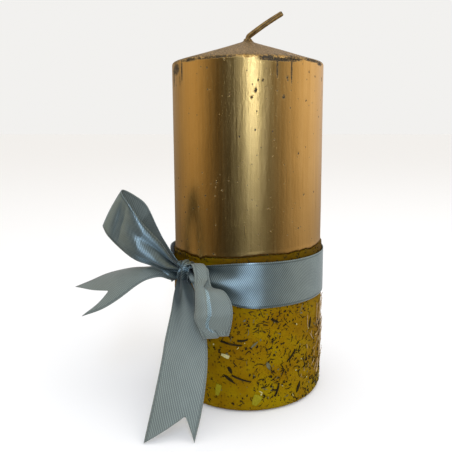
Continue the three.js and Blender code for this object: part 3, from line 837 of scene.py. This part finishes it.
satin, satin_shader = ribbon_face(
    "satin_face", [(0.12, (0.130, 0.170, 0.175)), (0.40, (0.225, 0.290, 0.295)),
                   (0.80, (0.41, 0.51, 0.52))],
    0.85 * mm, 0.6, 0.022 * mm, 0.38)
satin_shader.inputs["Metallic"].default_value = 0.8
satin_shader.inputs["Anisotropic"].default_value = 1.0
satin_shader.inputs["Sheen Weight"].default_value = 0.2
satin_shader.inputs["Sheen Roughness"].default_value = 0.4
satin_shader.inputs["Specular Tint"].default_value = (0.78, 0.93, 1.0, 1)
# The satin where it turns over in a narrow strip: a lighter copy, less like metal, so it keeps its
# blue; a painted sheen for the light that strip catches.
satin_painted_sheen, painted_sheen_shader = ribbon_face(
    "satin_painted_sheen", [(0.12, (0.10, 0.155, 0.170)), (0.40, (0.20, 0.285, 0.305)),
                   (0.80, (0.40, 0.52, 0.55))],
    0.85 * mm, 0.6, 0.03 * mm, 0.34)
painted_sheen_shader.inputs["Metallic"].default_value = 0.45
twill, twill_shader = ribbon_face(
    "twill_back", [(0.12, (0.097, 0.118, 0.107)), (0.40, (0.140, 0.166, 0.148)),
                   (0.80, (0.205, 0.240, 0.215))],
    1.65 * mm, -1.9, 0.07 * mm, 0.5)
twill_shader.inputs["Metallic"].default_value = 0.15
twill_shader.inputs["Sheen Weight"].default_value = 0.2
twill_shader.inputs["Sheen Roughness"].default_value = 0.5


def along_route(route, share):
    """A point on the smooth curve through a route's points, for share 0 to 1."""
    spans = len(route) - 1
    place = min(max(share, 0.0), 1.0) * spans
    i = min(int(place), spans - 1)
    t = place - i
    p1, p2 = route[i], route[i + 1]
    p0 = route[i - 1] if i > 0 else p1 * 2 - p2
    p3 = route[i + 2] if i + 2 <= spans else p2 * 2 - p1
    return (p1 * 2 + (p2 - p0) * t + (p0 * 2 - p1 * 5 + p2 * 4 - p3) * t * t
            + (p1 * 3 - p0 - p2 * 3 + p3) * t * t * t) / 2


def no_fold(across, along):
    """A ribbon with no creases of its own."""
    return 0.0


def nowhere(along):
    """A bow or a lap that a stretch of ribbon doesn't have."""
    return 0.0


deepest_pleat = 1.6 * mm
deepest_bow = 4.2 * mm
lap_rise = 0.9 * mm
lap_reach = 0.62


def ribbon_piece(name, node, side_a, side_b, rows, faces, knotted="start", pleats=2,
                 phase=0.0, grip=9 * mm, bow=nowhere, lap=nowhere, notch=0.0, notch_at=0.5,
                 crease=no_fold, turned_over=None, turned_face=None, columns=28,
                 painted_knot_shade=1.0):
    """Bends a flat strip of ribbon so that its two selvedges follow two routes.

    Where the routes come closer than the ribbon's width, the spare width goes into tight
    pleats near the knot, and bow(along) of the rest into one open bow. Where lap(along) is 1
    the ribbon lies folded in three instead. crease(across, along) adds folds in metres. A
    notch cuts a dovetail in the far end. turned_over(across, along) is true where the other
    face shows. The last argument is painted shade: how dark the folds near the knot are
    painted, through the fold attribute that darkens the ribbon's colour.
    """
    centre_line = [along_route(side_a, share).lerp(along_route(side_b, share), 0.5)
                   for share in stretch_between(0, 1, 200)]
    length = sum((after - before).length for before, after in zip(centre_line, centre_line[1:]))
    form = bmesh.new()
    bmesh.ops.create_grid(form, x_segments=columns, y_segments=rows, size=0.5)
    weave = form.loops.layers.uv.new("weave")
    fold = form.verts.layers.float.new("fold")
    cut = {}
    for vertex in form.verts:
        across, along = vertex.co.x + 0.5, vertex.co.y + 0.5
        side = notch_at if across < notch_at else 1 - notch_at
        bite = 1 - abs(across - notch_at) / side
        cut[vertex] = (across, along * (1 - notch / length * bite))
    for face in form.faces:
        for loop in face.loops:
            across, along = cut[loop.vert]
            loop[weave].uv = (across * ribbon_width, along * length)
        middle_across = sum(cut[vertex][0] for vertex in face.verts) / 4
        middle_along = sum(cut[vertex][1] for vertex in face.verts) / 4
        if turned_over and turned_over(middle_across, middle_along):
            face.material_index = 2
    for vertex, (across, along) in cut.items():
        edge_a, edge_b = along_route(side_a, along), along_route(side_b, along)
        before, after = max(0, along - 0.004), min(1, along + 0.004)
        ahead = (along_route(side_a, after).lerp(along_route(side_b, after), across)
                 - along_route(side_a, before).lerp(along_route(side_b, before), across))
        sideways = edge_b - edge_a
        outward = ahead.cross(sideways).normalized()
        width = max(sideways.length, 2 * mm)
        spare = max(0, ribbon_width / width - 1)
        from_knot_end = along if knotted == "start" else min(along, 1 - along)
        tight = math.exp(-(from_knot_end * length / grip) ** 2)
        pleat = min(width / (math.pi * pleats) * math.sqrt(spare * tight), deepest_pleat)
        arch = min(width * 0.55 * math.sqrt(spare * (1 - tight)), deepest_bow)
        lapped = lap(along)
        lift = (0.9 * pleat * (1 - lapped) * math.sin(math.tau * (pleats * across + phase))
                + bow(along) * arch * math.sin(math.pi * across) ** 0.8
                + lapped * lap_rise * math.cos(math.pi * across) + crease(across, along))
        # Painted shade: the fold attribute, strongest in the pleat valleys near the knot, darkens the
        # ribbon's colour where shade falls.
        valley = 0.5 - 0.5 * math.sin(math.tau * (pleats * across + phase))
        vertex[fold] = min(1, painted_knot_shade * math.exp(-(from_knot_end * length / (2 * grip)) ** 2)
                           * (0.35 + 0.65 * valley))
        place = across + lap_reach * lapped * math.sin(math.tau * across)
        vertex.co = edge_a.lerp(edge_b, place) + outward * lift
    bmesh.ops.reverse_faces(form, faces=form.faces[:])
    piece = finished(form, name, faces, "ribbon")
    if turned_face:
        piece.data.materials.append(turned_face)
    thicken = piece.modifiers.new("thickness", "SOLIDIFY")
    thicken.thickness = ribbon_thick
    thicken.offset = 0
    thicken.material_offset = 1
    thicken.use_even_offset = False
    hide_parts(node)


band_radius = band_high.x - 0.25 * mm
band_middle = band_low.z + ribbon_width / 2
band_start = knot_angle + math.radians(5)
band_end = knot_angle + math.radians(355)


def band_edge(side):
    """One selvedge of the band, from the right of the knot round to its left."""
    route = []
    for angle in stretch_between(band_start, band_end, 40):
        from_knot = math.degrees(min(angle - band_start, band_end - angle))
        gather = max(0, 1 - from_knot / 42) ** 1.6
        half = ribbon_width / 2 * (1 - 0.72 * gather)
        height = band_middle + (knot.z - band_middle) * gather
        if side < 0:
            tucked_at = math.degrees(band_end - angle) - 28
            height += 2.2 * mm * math.exp(-(tucked_at / 14) ** 2)
        radius = band_radius + 1.9 * mm * gather
        route.append(Vector((radius * math.sin(angle), -radius * math.cos(angle),
                             height + side * half)))
    return route


def soft_step(value, low, high):
    """0 below low, 1 above high, and smooth between."""
    share = min(max((value - low) / (high - low), 0), 1)
    return share * share * (3 - 2 * share)


def band_crease(across, along):
    """Long soft folds that run out of the knot and die away on the front."""
    from_start = along * (band_end - band_start) * band_radius / mm
    from_finish = (1 - along) * (band_end - band_start) * band_radius / mm
    crest = 0.46 - 0.10 * math.exp(-from_start / 8)
    ridge = 2.9 * math.exp(-((across - crest) / 0.19) ** 2) * (1 - soft_step(from_start, 5, 31))
    second = 0.5 * math.exp(-((across - 0.86) / 0.08) ** 2) * (1 - soft_step(from_start, 4, 20))
    back = 1.6 * math.exp(-((across - 0.55) / 0.2) ** 2) * (1 - soft_step(from_finish, 3, 26))
    ripple = 0.10 * math.sin(from_start / 4.2 + across * 3) * math.exp(-from_start / 50)
    loose = 1.6 * math.exp(-((from_finish - 34) / 16) ** 2)
    return max(-0.1, ridge + second + back + ripple + loose) * mm


ribbon_piece("ribbon_band_satin", "ribbon_band", band_edge(-1), band_edge(1), 420,
             [satin, twill], knotted="both", pleats=2, phase=0.1,
             crease=band_crease)


# ------------------------------------------------------------------ ribbon loops
# Two loops of the bow: a large open one that stands up to the left, and a small one that
# hangs forward over the band. The large one is pleated at the knot, the small one folded.
def from_knot(points):
    """Points given in millimetres from the middle of the knot."""
    return [knot + Vector(point) * mm for point in points]


loop_left_top = from_knot([
    (-1.5, -0.5, 2), (-5.5, -3, 8.5), (-9, -5, 14.5), (-15.5, -6, 22), (-21.5, -5, 30),
    (-25.5, -2, 35), (-25.5, 2, 36), (-21.5, 6, 33), (-17, 8, 28.5), (-13, 8, 19.5),
    (-9, 6, 12), (-4.5, 3.5, 5.5), (-1, 1.5, 2.5)])
loop_left_foot = from_knot([
    (-0.5, -0.5, 0.5), (-7.5, -1.5, 1.5), (-14, -3, 4), (-20.5, -3.5, 6.5), (-26.5, -3, 11),
    (-32.5, -1, 16.5), (-35.5, 3, 20), (-35.5, 8, 16), (-30, 10.5, 11), (-22.5, 10, 8),
    (-14.5, 8, 5), (-8, 4.5, 3), (-1.5, 2, 1)])
loop_right_outer = from_knot([
    (1.5, -3.5, 3), (4.5, -8, 4.5), (6, -11, 1.5), (6.5, -14, -3), (7, -16.5, -6.5),
    (7, -18, -11), (7, -19, -15), (9.5, -19, -21.5), (10.5, -17, -22.5), (9, -14.5, -17),
    (7.5, -13, -10.5), (6, -10.5, -5.5), (3.5, -7.5, -1.5), (1.5, -4, 0.5)])
loop_right_inner = from_knot([
    (2, -2.5, 3.5), (10.5, -8.5, 5), (12, -12.5, 1), (13.5, -14.5, -2.5), (18.5, -17, -3.5),
    (21.5, -20, -7.5), (22, -21.5, -13), (20.5, -20.5, -21), (20, -17.5, -21.5),
    (19.5, -15.5, -17), (17.5, -13.5, -10), (13, -11.5, -5.5), (8.5, -9, -1.5), (3, -4, 1)])


def left_bow(along):
    """The left loop is open and round, and flatter over its far fold."""
    return 0.8 - 0.5 * math.exp(-((along - 0.5) / 0.1) ** 2)


def right_bow(along):
    """The right loop is flat in front and full behind."""
    return 1.8 * soft_step(along, 0.60, 0.70) * (1 - soft_step(along, 0.84, 0.92))


def right_lap(along):
    """The right loop's two roots are folded in three to pass through the knot."""
    return 1 - soft_step(along, 0.15, 0.29) + soft_step(along, 0.80, 0.90) + 0.45 * (
        soft_step(along, 0.49, 0.53) * (1 - soft_step(along, 0.60, 0.66)))


def left_crease(across, along):
    """A soft valley down the near face of the left loop, and two folds into the knot."""
    near = math.exp(-((along - 0.20) / 0.15) ** 2)
    valley = -1.6 * math.exp(-((across - 0.34) / 0.17) ** 2)
    fold = 0.9 * math.exp(-((across - 0.66) / 0.09) ** 2) * math.exp(-((along - 0.12) / 0.08) ** 2)
    lower = 0.6 * math.exp(-((across - 0.88) / 0.07) ** 2)
    return (valley + fold + lower) * near * mm


def strip_edge(along):
    """Where the right loop's left strip ends, as a share across: it narrows downward."""
    return 0.50 - 0.10 * soft_step(along, 0.22, 0.34) - 0.17 * soft_step(along, 0.42, 0.52)


def right_crease(across, along):
    """The right loop's left strip stands proud of the rest of its front."""
    near = soft_step(along, 0.16, 0.24) * (1 - soft_step(along, 0.44, 0.51))
    share = across / strip_edge(along)
    strip = (1 - soft_step(share, 0.72, 1.25)) * math.sin(math.pi * min(1, 0.18 + 0.6 * share))
    return (2.1 * strip + 0.9 * math.sin(math.pi * across)) * near * mm


def strip_side(across, along):
    """The satin face shows in a narrow band down the strip's right side."""
    return 0.18 < along < 0.52 and -0.035 < across - strip_edge(along) < 0.055


ribbon_piece("ribbon_loop_left_satin", "ribbon_loop_left", loop_left_top, loop_left_foot, 170,
             [satin, twill], knotted="both", pleats=2, phase=0.15, bow=left_bow,
             crease=left_crease)
# The right loop's turned-over strip takes the lighter satin copy, a painted sheen.
ribbon_piece("ribbon_loop_right_satin", "ribbon_loop_right", loop_right_outer, loop_right_inner,
             170, [twill, satin], knotted="both", pleats=2, phase=0.1, grip=10 * mm,
             bow=right_bow, lap=right_lap, crease=right_crease, turned_over=strip_side,
             turned_face=satin_painted_sheen, columns=56, painted_knot_shade=0.0)


# ------------------------------------------------------------------ ribbon tails
# The two ends of the ribbon, each cut to a dovetail so that it doesn't fray. The short one
# stands out to the left; the long one runs down in front until its points rest on the table.
tail_front_left = from_knot([
    (-2, -1, -2), (-2.5, -4, -5), (-3.5, -7, -9), (-4.5, -9.5, -15), (-6.5, -14.5, -25),
    (-7.5, -18.5, -32.5), (-9.5, -23.5, -43.5), (-11.5, -28, -53.5), (-13, -31.5, -61)])
tail_front_right = from_knot([
    (0.5, -2, -2), (3.5, -5.5, -3.5), (6, -8.5, -7), (9, -11.5, -15), (11, -14.5, -25),
    (11.5, -18.5, -34), (11, -23, -41.5), (9.5, -27.5, -51), (7, -31.5, -61)])
tail_left_top = from_knot([
    (-1, 0.5, -0.5), (-5, 0.5, 1), (-10.5, 2, 1.5), (-17.5, 4.5, 1), (-25, 7, 0),
    (-35.5, 9.5, -3), (-44.5, 10.5, -7), (-51.5, 11, -10)])
tail_left_foot = from_knot([
    (-0.5, 0, -3), (-5, -1.5, -3), (-9.5, -2.5, -1), (-14.5, -3.5, -2), (-20, -4, -5),
    (-28, -4.5, -11), (-35.5, -4.5, -15.5), (-44.5, -3.5, -19)])


def tail_bow(along):
    """The left tail keeps a slight bow across to its end."""
    return 0.6


def tail_lap(along):
    """The left tail is folded in three at its root, and opens out towards its end."""
    return 1 - soft_step(along, 0.22, 0.52)


def front_tail_crease(across, along):
    """The long tail's right edge rolls under at the top, and it bows a little below."""
    top = math.exp(-(along / 0.16) ** 2)
    rolled = -1.3 * soft_step(across, 0.78, 1.0) + 0.7 * math.exp(-((across - 0.72) / 0.08) ** 2)
    return (rolled * top + 0.7 * math.sin(math.pi * across)
            + 0.25 * math.sin(7 * along + 4 * across)) * mm


# Painted shadow: a strong painted fold shade darkens the long tail's top under the knot.
ribbon_piece("ribbon_tail_front_twill", "ribbon_tail_front", tail_front_left, tail_front_right,
             120, [twill, satin], pleats=2, phase=0.3, notch=8.5 * mm, notch_at=0.7,
             crease=front_tail_crease, painted_knot_shade=4.0)
ribbon_piece("ribbon_tail_left_twill", "ribbon_tail_left", tail_left_top, tail_left_foot,
             100, [twill, satin], pleats=2, phase=0.6, notch=13 * mm, notch_at=2 / 3,
             grip=7 * mm, bow=tail_bow, lap=tail_lap, painted_knot_shade=1.3)


# ------------------------------------------------------------------ ribbon knot
# The ribbon passes once round the roots of the loops and tails and pulls tight, so its
# width crumples into narrow pleats. The wrap hides where the other pieces meet.
wrap_middle = knot + Vector((1.5, -0.9, 0.2)) * mm
wrap_half_height = 4.3 * mm
wrap_half_depth = 3.2 * mm
wrap_half_width = 4.5 * mm


def wrap_edge(side):
    """One edge of the wrap round the bow's middle, a little more than one full turn."""
    route = []
    for turn in stretch_between(math.radians(-200), math.radians(200), 26):
        tilt = 0.9 * mm * math.sin(turn) + 0.5 * mm * math.cos(2 * turn)
        tuck = 1 - 0.12 * abs(turn) / math.pi
        route.append(wrap_middle + knot_outward * (wrap_half_depth * math.cos(turn) * tuck)
                     + Vector((0, 0, wrap_half_height * math.sin(turn) * tuck))
                     + knot_sideways * (tilt + side * wrap_half_width))
    return route


def wrap_crease(across, along):
    """The wrap is fat in the middle, pinched at its edges, with one deep fold to the left."""
    deep = -1.5 * math.exp(-((across - 0.72 + 0.15 * math.sin(5 * along)) / 0.06) ** 2)
    return (1.0 * math.sin(math.pi * across) - 0.6 + deep
            + 0.2 * math.sin(21 * along + 6 * across)) * mm


# Painted shade: the wrap's long grip spreads the painted fold shade along its whole length, so the
# knot is painted dark.
ribbon_piece("ribbon_knot_wrap", "ribbon_knot", wrap_edge(1), wrap_edge(-1), 110, [satin, twill],
             pleats=3, phase=0.2, grip=60 * mm, crease=wrap_crease)
